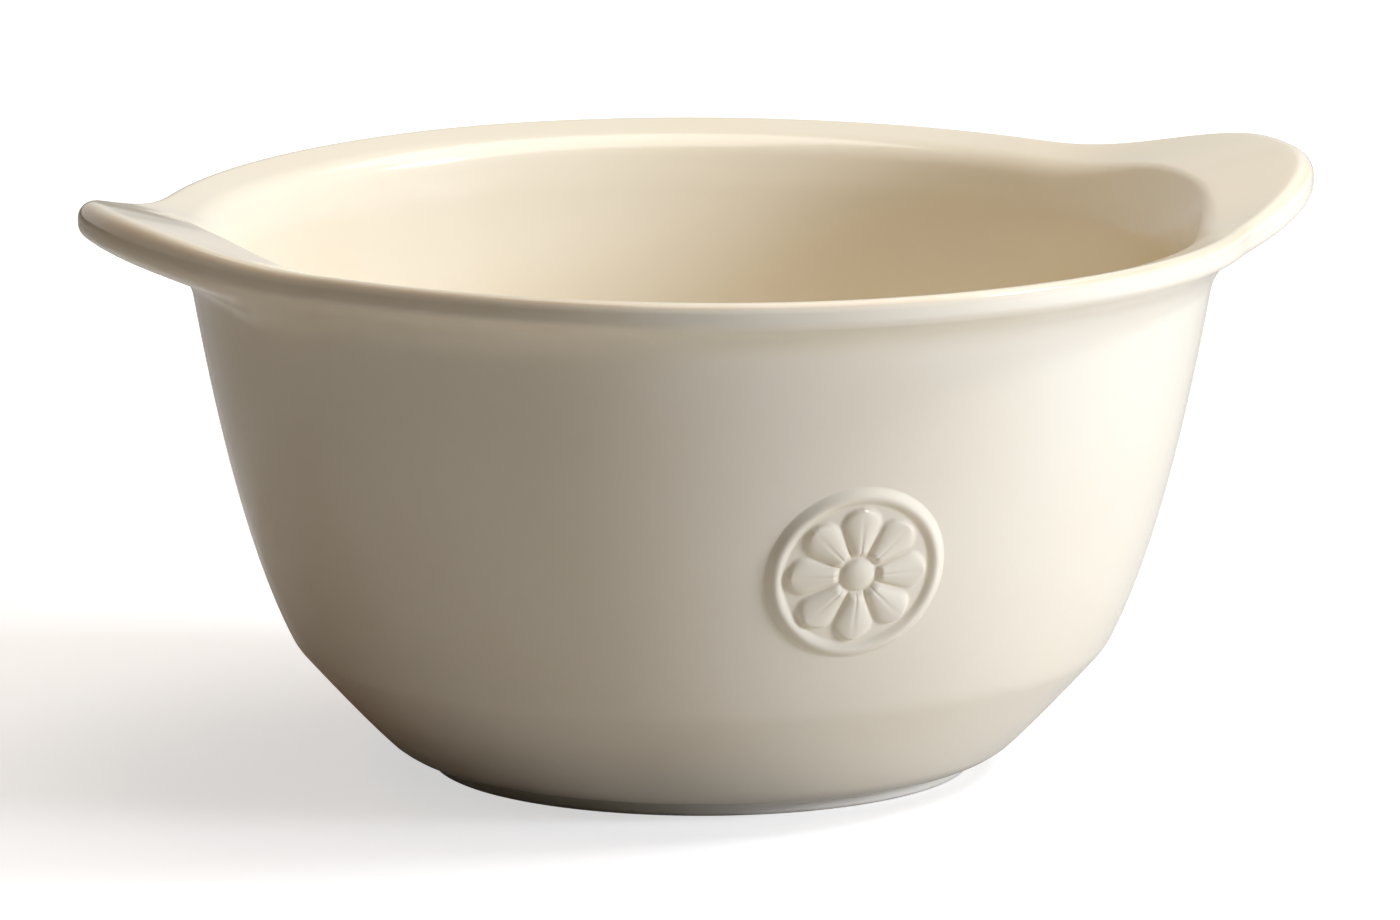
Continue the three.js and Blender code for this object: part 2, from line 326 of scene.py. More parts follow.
    def cove(self, root: float, low_centre: np.ndarray, rim: Rim) -> np.ndarray:
        """Give the points of the hollow under the rim, from the wall out to the rim's lower edge.

        Args:
            root: Place along the wall where the hollow begins.
            low_centre: Centre of the lower edge's rounding.
            rim: The rim's measures here.

        Returns:
            The points after the first, with the last on the lower edge.
        """
        start = self.wall_points(np.array([root]))[0]
        leave = self.wall_tangents(np.array([root]))[0]
        end = low_centre + rim.edge * direction(rim.under)
        length = np.linalg.norm(end - start)
        arrive = direction(rim.under + math.pi / 2)
        guides = [start, start + leave * length * rim.root_ease, end - arrive * length * self.edge_ease, end]
        return curve_through(guides, steps(self.COVE_STEPS))

    def shelf(self, crest: np.ndarray, knee: np.ndarray, ease: float) -> np.ndarray:
        """Give the points from the rim's crest along its slope and over the knee to the neck inside.

        Args:
            crest: Point where the rounding of the rim's upper edge ends.
            knee: Corner where the slope turns down into the bowl.
            ease: Length that the rounding of the knee takes off each side.

        Returns:
            The points after the crest.
        """
        inner_neck = self.inner_points(np.array([1.0]))[0]
        fall = [knee, inner_neck + self.wall_tangents(np.array([1.0]))[0] * self.neck_guide, inner_neck]
        first = ease / float(2 * np.linalg.norm(fall[1] - knee))
        before = knee - (knee - crest) / np.linalg.norm(knee - crest) * ease
        after = curve_through(fall, np.array([first]))[0]
        slope = curve_through([crest, before], steps(self.SLOPE_STEPS))
        corner = curve_through([before, knee, after], steps(self.KNEE_STEPS))
        return np.vstack([slope, corner, curve_through(fall, steps(self.FALL_STEPS, first, 1.0))])

    def rim_side(self, reach: float, lift: float) -> np.ndarray:
        """Give the points from the crease up the wall and over the rim to the neck inside.

        Args:
            reach: 0 at the plain rim and 1 at the middle of an ear.
            lift: Height of the rim's crest here above the plain rim's.

        Returns:
            The points, as many for every reach and lift.
        """
        rim = PLAIN_RIM.towards(EAR_RIM, reach)
        outer = mix(self.rim_radius, self.ear_tip_radius, reach)
        crest_height = self.rim_height + lift
        high_centre = np.array([outer - rim.edge, crest_height - rim.edge])
        low_centre = high_centre - np.array([0.0, rim.side])
        knee = np.array([outer - rim.knee_inset, crest_height - rim.knee_drop])
        across, up = knee - high_centre
        top = math.atan2(up, across) % (2 * math.pi) - math.acos(rim.edge / math.hypot(across, up))
        root = self.wall_share(self.neck[1] - self.root_drop * math.sin(math.pi * reach))
        low_angles = steps(self.LOW_EDGE_STEPS, rim.under, 0.0)
        low_edge = [low_centre + rim.edge * direction(angle) for angle in low_angles]
        high_edge = [high_centre + rim.edge * direction(angle) for angle in self.edge_angles(top)]
        return np.vstack([
            self.wall_points(steps(self.WALL_STEPS, self.wall_start(), root)),
            self.cove(root, low_centre, rim),
            low_edge,
            high_edge,
            self.shelf(high_edge[-1], knee, rim.knee_ease),
        ])

    def edge_angles(self, top: float) -> np.ndarray:
        """Give the angles of the points around the rim's upper edge, from its side up to its crest."""
        return np.linspace(0.0, top, self.EDGE_STEPS)

    def inner_side(self) -> np.ndarray:
        """Give the points from the neck down the inside to the axis on the floor."""
        wall = self.inner_points(steps(self.INNER_STEPS, 1.0, 0.0))
        down = -self.wall_tangents(np.array([0.0]))[0]
        floor_height = self.foot_height + self.floor
        floor_edge = np.array([self.floor_radius, floor_height])
        sweep_guides = [
            wall[-1],
            wall[-1] + down * self.floor_sweep,
            floor_edge + np.array([self.floor_sweep, 0.0]),
            floor_edge,
        ]
        floor = curve_through([floor_edge, np.array([0.0, floor_height])], steps(self.FLOOR_STEPS))
        return np.vstack([wall, curve_through(sweep_guides, steps(self.SWEEP_STEPS)), floor])

    def points(self, reach: float = 0.0, lift: float = 0.0) -> np.ndarray:
        """Give the whole section from the axis below to the axis on the floor."""
        return np.vstack([self.under_side(), self.rim_side(reach, lift), self.inner_side()])

    def painted_edge_shade(self) -> np.ndarray:
        """Give how strongly the painted shade line shows at each point of the section, from 0 to 1."""
        shade_line = np.zeros(len(self.points()))
        first = len(self.under_side()) + self.WALL_STEPS + self.COVE_STEPS + self.LOW_EDGE_STEPS
        # Painted shade: a line that is strongest at one angle around the upper edge and fades to either
        # side.
        off = (self.edge_angles(self.shade_line_end) - self.shade_line_middle) / self.shade_line_spread
        shade_line[first:first + self.EDGE_STEPS] = np.exp(-(off**2))
        return shade_line


def select_only(piece: bpy.types.Object) -> None:
    """Make one object the only selected and the active one."""
    bpy.ops.object.select_all(action="DESELECT")
    piece.select_set(True)
    bpy.context.view_layer.objects.active = piece


def turned(name: str, outline: np.ndarray, count: int) -> bpy.types.Object:
    """Draw an outline by extruding one vertex along it, and spin it once around the Z axis.

    Args:
        name: Name of the new piece.
        outline: Radius and height of each point, from one end to the other.
        count: Steps around the axis.

    Returns:
        The new piece, with its doubles merged and its faces pointing outwards.
    """
    bpy.ops.object.select_all(action="DESELECT")
    bpy.ops.mesh.primitive_plane_add(size=START_SIZE)
    piece = bpy.context.object
    piece.name = name
    piece.data.name = name
    bpy.ops.object.mode_set(mode="EDIT")
    bpy.ops.mesh.select_all(action="SELECT")
    bpy.ops.mesh.merge(type="CENTER")
    bpy.ops.transform.translate(value=(outline[0, 0], 0.0, outline[0, 1]))
    for across, up in np.diff(outline, axis=0):
        bpy.ops.mesh.extrude_vertices_move(TRANSFORM_OT_translate={"value": (across, 0.0, up)})
    bpy.ops.mesh.select_all(action="SELECT")
    bpy.ops.mesh.spin(steps=count, angle=2 * math.pi, center=(0, 0, 0), axis=(0, 0, 1))
    bpy.ops.mesh.select_all(action="SELECT")
    bpy.ops.mesh.remove_doubles(threshold=WELD)
    bpy.ops.mesh.normals_make_consistent(inside=False)
    bpy.ops.object.mode_set(mode="OBJECT")
    return piece


def places_of(piece: bpy.types.Object) -> np.ndarray:
    """Read the places of a piece's vertices, one row each."""
    places = np.empty(len(piece.data.vertices) * 3)
    piece.data.vertices.foreach_get("co", places)
    return places.reshape(-1, 3)


def move_to(piece: bpy.types.Object, places: np.ndarray) -> None:
    """Put a piece's vertices at new places."""
    piece.data.vertices.foreach_set("co", places.ravel())
    piece.data.update()


def soften(piece: bpy.types.Object, factor: float, rounds: int) -> None:
    """Even out a piece's surface and shade it smooth.

    Args:
        piece: The piece to finish.
        factor: How far each vertex moves towards its neighbours in a round, from 0 to 1.
        rounds: How often it moves.
    """
    select_only(piece)
    modifier = piece.modifiers.new("soften", "SMOOTH")
    modifier.factor = factor
    modifier.iterations = rounds
    bpy.ops.object.modifier_apply(modifier=modifier.name)
    bpy.ops.object.shade_smooth()


def joined(
    tree: bpy.types.NodeTree, operation: str, first: bpy.types.NodeSocket, second: object
) -> bpy.types.NodeSocket:
    """Join two values in a node tree.

    Args:
        tree: Node tree that the node goes into.
        operation: Blender's name for the way to join them.
        first: The first value.
        second: The second value, a constant or a link.

    Returns:
        The joined value.
    """
    made = tree.nodes.new("ShaderNodeMath")
    made.operation = operation
    tree.links.new(first, made.inputs[0])
    if isinstance(second, bpy.types.NodeSocket):
        tree.links.new(second, made.inputs[1])
    else:
        made.inputs[1].default_value = second
    return made.outputs[0]


class NodeSheet:
    """Node material under construction."""

    # A Mix node has sockets of the same name for every kind of data, so those for colours go by number.
    MIX_COLOURS = (6, 7)
    MIX_RESULT = 2

    def __init__(self, name: str) -> None:
        """Start a material with nothing but its output."""
        self.material = bpy.data.materials.new(name)
        self.material.use_nodes = True
        self.tree = self.material.node_tree
        self.tree.nodes.clear()
        self.output = self.tree.nodes.new("ShaderNodeOutputMaterial")

    def node(self, kind: str, **values: object) -> bpy.types.Node:
        """Add a node and set its inputs by name.

        Args:
            kind: Name of the node's kind, without its prefix.
            **values: Constant inputs or links, by the input's name with spaces as underscores.

        Returns:
            The new node.
        """
        made = self.tree.nodes.new("ShaderNode" + kind)
        for name, value in values.items():
            socket = made.inputs[name.replace("_", " ")]
            if isinstance(value, bpy.types.NodeSocket):
                self.tree.links.new(value, socket)
            else:
                socket.default_value = value
        return made

    def noise(self, size: float, detail: float, roughness: float = 0.5) -> bpy.types.NodeSocket:
        """Give noise whose clouds are about a size across, on the piece's own coordinates."""
        place = self.node("TexCoord").outputs["Object"]
        made = self.node("TexNoise", Vector=place, Scale=1 / size, Detail=detail, Roughness=roughness)
        return made.outputs["Fac"]

    def distance(self) -> bpy.types.NodeSocket:
        """Give the distance from the piece's origin."""
        made = self.tree.nodes.new("ShaderNodeVectorMath")
        made.operation = "LENGTH"
        self.tree.links.new(self.node("TexCoord").outputs["Object"], made.inputs[0])
        return made.outputs["Value"]

    def spread(
        self, value: bpy.types.NodeSocket, low: float, high: float, to_low: float = 0.0, to_high: float = 1.0
    ) -> bpy.types.NodeSocket:
        """Stretch a value's range to another range, held at its ends.

        Args:
            value: The value to stretch.
            low: Lower end of its range.
            high: Upper end of its range.
            to_low: What the lower end becomes.
            to_high: What the upper end becomes.

        Returns:
            The stretched value.
        """
        made = self.node("MapRange", Value=value)
        made.inputs["From Min"].default_value = low
        made.inputs["From Max"].default_value = high
        made.inputs["To Min"].default_value = to_low
        made.inputs["To Max"].default_value = to_high
        return made.outputs["Result"]

    def blend(self, share: bpy.types.NodeSocket, first: object, second: object) -> bpy.types.NodeSocket:
        """Mix two colours, each a constant or a link."""
        made = self.tree.nodes.new("ShaderNodeMix")
        made.data_type = "RGBA"
        self.tree.links.new(share, made.inputs["Factor"])
        for number, value in zip(self.MIX_COLOURS, (first, second)):
            if isinstance(value, bpy.types.NodeSocket):
                self.tree.links.new(value, made.inputs[number])
            else:
                made.inputs[number].default_value = (*value, 1.0)
        return made.outputs[self.MIX_RESULT]

    def times(self, first: bpy.types.NodeSocket, second: object) -> bpy.types.NodeSocket:
        """Multiply a value by another, which is a constant or a link."""
        return joined(self.tree, "MULTIPLY", first, second)

    def bump(
        self, height: bpy.types.NodeSocket, depth: float, under: bpy.types.NodeSocket | None = None
    ) -> bpy.types.NodeSocket:
        """Raise the surface.

        Args:
            height: Where it is raised, from 0 to 1.
            depth: How far it is raised at 1.
            under: Another bump to raise it from, if there is one.

        Returns:
            The raised surface's normal.
        """
        made = self.node("Bump", Height=height, Distance=depth, Strength=1.0)
        if under is not None:
            self.tree.links.new(under, made.inputs["Normal"])
        return made.outputs["Normal"]

    def finish(self, shader: bpy.types.Node) -> bpy.types.Material:
        """Link the last shader to the output and give the material."""
        self.tree.links.new(shader.outputs[0], self.output.inputs["Surface"])
        return self.material


@dataclass(frozen=True)
class GlazeFinish:
    """Glossy cream glaze, a little cloudy, with a warm painted shade line along the lip's upper edge.

    Attributes:
        colour: The glaze's own colour.
        cloud_colour: Its colour in the clouds.
        edge_shade_colour: Colour of the painted shade line along the lip.
        edge_shade_share: How much of that colour shows where the painted shade line is strongest.
        edge_shade_least: Share of that which is left where the painted shade line is faintest.
        cloud: Size of the clouds.
        cloud_range: Values of the noise at which a cloud begins and is full.
        gloss: Roughness where the glaze shines most.
        dull: Roughness where it shines least.
        dull_patch: Size of the duller patches.
        ripple: Size of the slow waves in the surface.
        ripple_depth: Depth of those waves.
        peel: Size of the fine pits in the surface.
        peel_depth: Depth of those pits.
        refraction: Index of refraction, which sets how much the glaze mirrors.
    """

    name: str = "cream_glaze"
    colour: Colour = (0.86, 0.770, 0.595)
    cloud_colour: Colour = (0.85, 0.745, 0.557)
    edge_shade_colour: Colour = (0.66, 0.47, 0.28)
    edge_shade_share: float = 0.65
    edge_shade_least: float = 0.6
    cloud: float = 0.035
    cloud_range: tuple[float, float] = (0.35, 0.68)
    gloss: float = 0.11
    dull: float = 0.17
    dull_patch: float = 0.021
    ripple: float = 0.009
    ripple_depth: float = 0.000012
    peel: float = 0.0011
    peel_depth: float = 0.0000007
    refraction: float = 1.58

    def material(self) -> bpy.types.Material:
        """Make the material."""
        sheet = NodeSheet(self.name)
        clouds = sheet.spread(sheet.noise(self.cloud, detail=4.0), *self.cloud_range)
        colour = sheet.blend(clouds, self.colour, self.cloud_colour)
        # Painted shade: a warm darker line along the lip's upper edge, whose strength wavers with a noise.
        shade_line = sheet.tree.nodes.new("ShaderNodeAttribute")
        shade_line.attribute_name = EDGE_SHADE_ATTRIBUTE
        drift = sheet.spread(sheet.noise(self.ripple, detail=2.0), *NOISE_RANGE, to_low=self.edge_shade_least)
        share = sheet.times(sheet.times(shade_line.outputs["Fac"], drift), self.edge_shade_share)
        colour = sheet.blend(share, colour, self.edge_shade_colour)
        patches = sheet.noise(self.dull_patch, detail=3.0)
        roughness = sheet.spread(patches, *NOISE_RANGE, self.gloss, self.dull)
        ripples = sheet.bump(sheet.noise(self.ripple, detail=1.0), self.ripple_depth)
        surface = sheet.bump(sheet.noise(self.peel, detail=1.0), self.peel_depth, ripples)
        glaze = sheet.node(
            "BsdfPrincipled", Base_Color=colour, Roughness=roughness, Normal=surface, IOR=self.refraction
        )
        return sheet.finish(glaze)


@dataclass(frozen=True)
class FootFinish:
    """Glaze on the ring's sides, wiped off its tread down to the bare clay.

    Attributes:
        glaze: Colour of the glazed sides.
        clay: Colour of the bare clay.
        fleck: Colour of the flecks in the clay.
        fleck_range: Values of the grain at which a fleck begins and is full.
        wipe_low: Height up to which the glaze is wiped off.
        wipe_high: Height from which it is whole.
        wipe_drift: How far the wiped edge wanders up and down.
        wipe_wave: Length of its waves.
        grain: Size of the clay's grain.
        grain_depth: Depth of the grain on bare clay.
        glazed_grain: Share of that depth which shows through the glaze.
        gloss: Roughness of the glaze.
        matt: Roughness of the clay.
    """

    name: str = "foot_clay"
    glaze: Colour = (0.84, 0.775, 0.635)
    clay: Colour = (0.62, 0.51, 0.38)
    fleck: Colour = (0.45, 0.34, 0.24)
    fleck_range: tuple[float, float] = (0.5, 0.72)
    wipe_low: float = 0.0001
    wipe_high: float = 0.00032
    wipe_drift: float = 0.00018
    wipe_wave: float = 0.006
    grain: float = 0.0005
    grain_depth: float = 0.00004
    glazed_grain: float = 0.02
    gloss: float = 0.16
    matt: float = 0.8

    def material(self) -> bpy.types.Material:
        """Make the material."""
        sheet = NodeSheet(self.name)
        place = sheet.node("TexCoord").outputs["Object"]
        height = sheet.node("SeparateXYZ", Vector=place).outputs["Z"]
        waves = sheet.noise(self.wipe_wave, detail=3.0)
        drift = sheet.spread(waves, *NOISE_RANGE, -self.wipe_drift / 2, self.wipe_drift / 2)
        edge = joined(sheet.tree, "ADD", height, drift)
        glazed = sheet.spread(edge, self.wipe_low, self.wipe_high)
        grain = sheet.noise(self.grain, detail=3.0, roughness=0.6)
        clay = sheet.blend(sheet.spread(grain, *self.fleck_range), self.clay, self.fleck)
        colour = sheet.blend(glazed, clay, self.glaze)
        roughness = sheet.spread(glazed, 0.0, 1.0, self.matt, self.gloss)
        rough_grain = sheet.times(grain, sheet.spread(glazed, 0.0, 1.0, 1.0, self.glazed_grain))
        surface = sheet.bump(rough_grain, self.grain_depth)
        clay_shader = sheet.node("BsdfPrincipled", Base_Color=colour, Roughness=roughness, Normal=surface)
        return sheet.finish(clay_shader)


@dataclass(frozen=True)
class FloorFinish:
    """Plain pale floor that shows as white and keeps the object's shadow.

    Attributes:
        colour: Colour of the floor under light.
        near: Distance from the middle up to which the floor glows least.
        far: Distance from which it glows most.
        glow_near: Glow near the bowl, where the shadow lies.
        glow_far: Glow far from it.
        glossy_share: How much of the glow a gloss mirrors, from 0 to 1.
    """

    name: str = "pale_floor"
    colour: Colour = (0.64, 0.615, 0.58)
    near: float = 0.22
    far: float = 0.55
    glow_near: float = 0.6
    glow_far: float = 1.0
    glossy_share: float = 0.03

    def material(self) -> bpy.types.Material:
        """Make the material."""
        sheet = NodeSheet(self.name)
        matt = sheet.node("BsdfDiffuse", Color=(*self.colour, 1.0))
        fade = sheet.spread(sheet.distance(), self.near, self.far, self.glow_near, self.glow_far)
        shown = sheet.times(shown_rays(sheet.tree, self.glossy_share), fade)
        glow = sheet.node("Emission", Color=WHITE, Strength=shown)
        both = sheet.tree.nodes.new("ShaderNodeAddShader")
        sheet.tree.links.new(matt.outputs[0], both.inputs[0])
        sheet.tree.links.new(glow.outputs[0], both.inputs[1])
        return sheet.finish(both)


def shown_rays(tree: bpy.types.NodeTree, glossy_share: float) -> bpy.types.NodeSocket:
    """Give how much a background shows as white to the ray at hand.

    Args:
        tree: Node tree that the nodes go into.
        glossy_share: How much of it a gloss mirrors, from 0 to 1.

    Returns:
        1 for rays from the camera or through glass, that share for mirrored ones and 0 for the rest.
    """
    path = tree.nodes.new("ShaderNodeLightPath")
    mirrored = joined(tree, "MULTIPLY", path.outputs["Is Glossy Ray"], glossy_share)
    shown = joined(tree, "MAXIMUM", path.outputs["Is Camera Ray"], mirrored)
    return joined(tree, "MAXIMUM", shown, path.outputs["Is Transmission Ray"])


@dataclass
class GlazedBowl:
    """Floor, wall, flared rim and both ears as the one glazed shell that they are.

    Attributes:
        section: The bowl's section.
        spokes: Steps around the axis.
        ear_plan_angle: From the middle of an ear to where its edge leaves the round.
        ear_rise_angle: From the middle of an ear to where its crest begins to rise.
        rim_sway: How much lower the rim lies at the ears than halfway between them.
        rim_sway_high: How far it lies above its even height halfway between them.
        left_twist: Strength of the left half's twist, which lifts its front and lowers its back.
    """

    section: BowlSection
    spokes: int = 360
    ear_plan_angle: float = math.radians(34)
    ear_rise_angle: float = math.radians(30.5)
    rim_sway: float = 0.0005
    rim_sway_high: float = 0.0002
    left_twist: float = 0.0015
    name: str = "glazed_bowl"

    @staticmethod
    def swell(off: float, half_angle: float) -> float:
        """Give the smooth rise from 0 at an ear's end to 1 at its middle."""
        share = min(max(1 - off / half_angle, 0.0), 1.0)
        return share**3 * (share * (share * 6 - 15) + 10)

    def shape_at(self, angle: float) -> np.ndarray:
        """Give the section at an angle around the axis, in radians."""
        off = min(abs(math.remainder(angle - math.radians(ear.value), 2 * math.pi)) for ear in Ear)
        reach = self.swell(off, self.ear_plan_angle)
        rise = self.swell(off, self.ear_rise_angle)
        sway = self.rim_sway_high - self.rim_sway * math.cos(angle) ** 2
        sway -= self.left_twist * math.sin(angle) * min(math.cos(angle), 0.0) ** 2
        tip_sway = self.rim_sway_high - self.rim_sway
        tip_lift = self.section.ear_tip_height - self.section.rim_height - tip_sway
        return self.section.points(reach, sway + tip_lift * rise)

    def pull_ears(self, bowl: bpy.types.Object) -> None:
        """Move each spoke of the turned bowl to its own section, and mark where the painted shade line lies.

        Args:
            bowl: The turned bowl, whose vertices still lie on the plain section.
        """
        places = places_of(bowl)
        plain = self.section.points()
        radius = np.hypot(places[:, 0], places[:, 1])
        misses = (radius[:, None] - plain[:, 0]) ** 2 + (places[:, 2, None] - plain[:, 1]) ** 2
        step = misses.argmin(axis=1)
        spacing = 2 * math.pi / self.spokes
        spoke = np.round(np.arctan2(places[:, 1], places[:, 0]) / spacing).astype(int)
        for number in np.unique(spoke):
            angle = number * spacing
            here = spoke == number
            shape = self.shape_at(angle)[step[here]]
            places[here, 0] = shape[:, 0] * math.cos(angle)
            places[here, 1] = shape[:, 0] * math.sin(angle)
            places[here, 2] = shape[:, 1]
        move_to(bowl, places)
        # Painted shade line along the rim's upper edge, which the glaze reads to darken and warm its colour.
        shade_line = bowl.data.attributes.new(EDGE_SHADE_ATTRIBUTE, "FLOAT", "POINT")
        shade_line.data.foreach_set("value", self.section.painted_edge_shade()[step])

    def build(self, glaze: bpy.types.Material) -> bpy.types.Object:
        """Model and dress the shell.

        Args:
            glaze: The glaze's material.

        Returns:
            The finished piece.
        """
        bowl = turned(self.name, self.section.points(), self.spokes)
        self.pull_ears(bowl)
        select_only(bowl)
        bpy.ops.object.shade_smooth()
        bowl.data.materials.append(glaze)
        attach(bowl, BODY)
        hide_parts("bowl_body", "right_ear", "left_ear")
        return bowl


@dataclass
class FootRing:
    """Low ring under the bowl, let a little into its underside.

    Attributes:
        outer_radius: Radius of the ring's outer side.
        height: Height of the ring up to the underside.
        width: Width of the ring.
        edge: Radius of the tread's rounded edges.
        cove: Radius of the hollows between the ring and the underside.
        let_in: How far the ring goes into the underside.
        spokes: Steps around the axis.
        edge_steps: Points of each rounding.
        sharp: Angle between faces from which an edge is shaded as sharp.
    """

    outer_radius: float
    height: float
    width: float = 0.0050
    edge: float = 0.0006
    cove: float = 0.0007
    let_in: float = 0.0003
    spokes: int = 192
    edge_steps: int = 6
    sharp: float = math.radians(40)
    name: str = "turned_foot"

    @classmethod
    def from_frame(cls) -> "FootRing":
        """Read the ring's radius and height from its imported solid."""
        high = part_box("foot_ring")[1]
        return cls(outer_radius=high[0], height=high[2])

    def half_outline(self, side: float, outward: int) -> np.ndarray:
        """Give one side of the ring's section, from its tread up to its top.

        Args:
            side: Radius of that side.
            outward: 1 for the outer side and -1 for the inner one.

        Returns:
            Radius and height of each point.
        """
        angles = np.linspace(-math.pi / 2, 0, self.edge_steps)
        tread = np.stack([self.edge * (np.cos(angles) - 1), self.edge * (np.sin(angles) + 1)], axis=1)
        angles = np.linspace(math.pi, math.pi / 2, self.edge_steps)
        top = np.stack([self.cove * (np.cos(angles) + 1), self.cove * (np.sin(angles) - 1)], axis=1)
        top[:, 1] += self.height
        end = np.array([[self.cove, self.height + self.let_in]])
        return np.vstack([tread, top, end]) * (outward, 1.0) + (side, 0.0)

    def build(self, clay: bpy.types.Material) -> bpy.types.Object:
        """Model and dress the ring.

        Args:
            clay: The ring's material.

        Returns:
            The finished piece.
        """
        outer = self.half_outline(self.outer_radius, 1)
        inner = self.half_outline(self.outer_radius - self.width, -1)
        outline = np.vstack([inner[::-1], outer, inner[-1:]])
        ring = turned(self.name, outline, self.spokes)
        select_only(ring)
        bpy.ops.object.shade_smooth_by_angle(angle=self.sharp)
        ring.data.materials.append(clay)
        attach(ring, BODY)
        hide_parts("foot_ring")
        return ring


@dataclass
class RosetteSeal:
    """Round relief on the wall: a rosette of rounded petals inside a raised ring.

    Attributes:
        section: Section of the bowl that carries it.
        centre_height: Height of its centre.
        petals: Number of petals.
        bead_radius: Radius of the raised ring's crest.
        bead_half_width: Half the width of that ring.
        bead_relief: Height of that ring.
        bead_power: Sharpness of its crest, which is a plain wave at 1.
        field_relief: Height of the field between the ring and the petals.
        petal_inner: Radius of the petals' roots.
        petal_outer: Radius of their tips.
        petal_relief: Height of the petals.
        petal_fill: Share of its sector that a petal fills at its widest.
        tip_start: Share of a petal's length after which it narrows to its tip.
        tip_power: Fullness of the tip.
        root_share: Share of a petal's length over which it rises from its root.
        fold_depth: Depth of the fold along a petal's middle, as a share of its height.
        fold_width: Width of that fold, as a share of half a sector.
        button_radius: Radius of the round middle.
        button_relief: Height of the round middle.
        skirt: Width of the edge outside the ring that sinks into the wall.
        skirt_drop: How far that edge sinks.
        depth: Depth of the hidden back.
        soft_factor: How strongly the surface is evened out, from 0 to 1.
        soft_rounds: How often it is evened out.
        rings: Points from the centre to the edge.
        sectors: Steps around the centre.
    """

    section: BowlSection
    centre_height: float
    petals: int = 8
    bead_radius: float = 0.0110
    bead_half_width: float = 0.0013
    bead_relief: float = 0.00075
    bead_power: float = 1.4
    field_relief: float = 0.00008
    petal_inner: float = 0.0026
    petal_outer: float = 0.0094
    petal_relief: float = 0.00085
    petal_fill: float = 0.94
    tip_start: float = 0.62
    tip_power: float = 2.2
    root_share: float = 0.12
    fold_depth: float = 0.16
    fold_width: float = 0.1
    button_radius: float = 0.0023
    button_relief: float = 0.00095
    skirt: float = 0.0007
    skirt_drop: float = 0.00025
    depth: float = 0.0012
    soft_factor: float = 0.5
    soft_rounds: int = 3
    rings: int = 84
    sectors: int = 240
    name: str = "rosette_seal"

    LEAST_WIDTH = 1e-6
    HALVINGS = 40

    @classmethod
    def from_frame(cls, section: BowlSection) -> "RosetteSeal":
        """Read the seal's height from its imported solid."""
        low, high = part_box("seal")
        return cls(section=section, centre_height=(low[2] + high[2]) / 2)

    @property
    def edge_radius(self) -> float:
        """Radius of the relief's hidden edge, just under the wall's surface."""
        return self.bead_radius + self.bead_half_width + self.skirt

    def petal_height(self, radius: np.ndarray, angle: np.ndarray) -> np.ndarray:
        """Give the height of the petals, each domed along and across.

        Args:
            radius: Distance from the seal's centre.
            angle: Angle around the seal's centre.

        Returns:
            The height of each point above the field.
        """
        spacing = 2 * math.pi / self.petals
        off = np.abs(angle - np.round(angle / spacing) * spacing) / (spacing / 2)
        along = (radius - self.petal_inner) / (self.petal_outer - self.petal_inner)
        past = np.clip((along - self.tip_start) / (1 - self.tip_start), 0, None)
        tip = np.clip(1 - past**self.tip_power, 0, None)
        half_width = self.petal_fill * np.sqrt(tip) * (along > 0)
        across = np.clip(1 - (off / np.maximum(half_width, self.LEAST_WIDTH)) ** 2, 0, 1)
        root = np.clip(along / self.root_share, 0, 1)
        fold = 1 - self.fold_depth * np.exp(-((off / self.fold_width) ** 2)) * np.clip(1 - along, 0, 1)
        return self.petal_relief * np.sqrt(across) * np.sqrt(root) * fold * (tip > 0)

    def relief(self, radius: np.ndarray, angle: np.ndarray) -> np.ndarray:
        """Give the height of the relief above the wall."""
        off_bead = np.clip(np.abs(radius - self.bead_radius) / self.bead_half_width, 0, 1)
        bead = self.bead_relief * np.cos(off_bead * math.pi / 2) ** self.bead_power
        button = self.button_relief * np.sqrt(np.clip(1 - (radius / self.button_radius) ** 2, 0, 1))
        inside = np.clip((self.bead_radius + self.bead_half_width - radius) / self.bead_half_width, 0, 1)
        sink = np.clip((radius - self.bead_radius - self.bead_half_width) / self.skirt, 0, 1)
        raised = np.maximum(np.maximum(bead, button), self.petal_height(radius, angle))
        return np.maximum(raised, self.field_relief * inside) - self.skirt_drop * sink

    def wall_above_plane(self, across: np.ndarray, up: np.ndarray, axes: list[Vector]) -> np.ndarray:
        """Give the height of the wall above the plane that touches it at the seal's centre.

        Args:
            across: Places across the plane.
            up: Places up the plane.
            axes: The plane's centre, and its directions across, up and out.

        Returns:
            The height at each place, which is found by halving.
        """
        wall = self.section.wall_points(np.linspace(0, 1, CURVE_SAMPLES))
        low = np.full(len(across), -self.edge_radius)
        high = np.full(len(across), self.edge_radius)
        for _ in range(self.HALVINGS):
            middle = (low + high) / 2
            point = self.in_frame(across, up, middle, axes)
            inside = np.hypot(point[:, 0], point[:, 1]) < np.interp(point[:, 2], wall[:, 1], wall[:, 0])
            low = np.where(inside, middle, low)
            high = np.where(inside, high, middle)
        return (low + high) / 2

    @staticmethod
    def in_frame(across: np.ndarray, up: np.ndarray, out: np.ndarray, axes: list[Vector]) -> np.ndarray:
        """Give the places in the bowl's frame of points in the seal's frame."""
        centre, axis_across, axis_up, axis_out = (np.array(axis) for axis in axes)
        return centre + np.outer(across, axis_across) + np.outer(up, axis_up) + np.outer(out, axis_out)

    def axes(self) -> list[Vector]:
        """Give the seal's centre on the wall, and its directions across, up and out."""
        share = np.array([self.section.wall_share(self.centre_height)])
        centre = self.section.wall_points(share)[0]
        tangent = self.section.wall_tangents(share)[0]
        return [
            Vector((0, -centre[0], centre[1])),
            Vector((1, 0, 0)),
            Vector((0, -tangent[0], tangent[1])),
            Vector((0, -tangent[1], -tangent[0])),
        ]

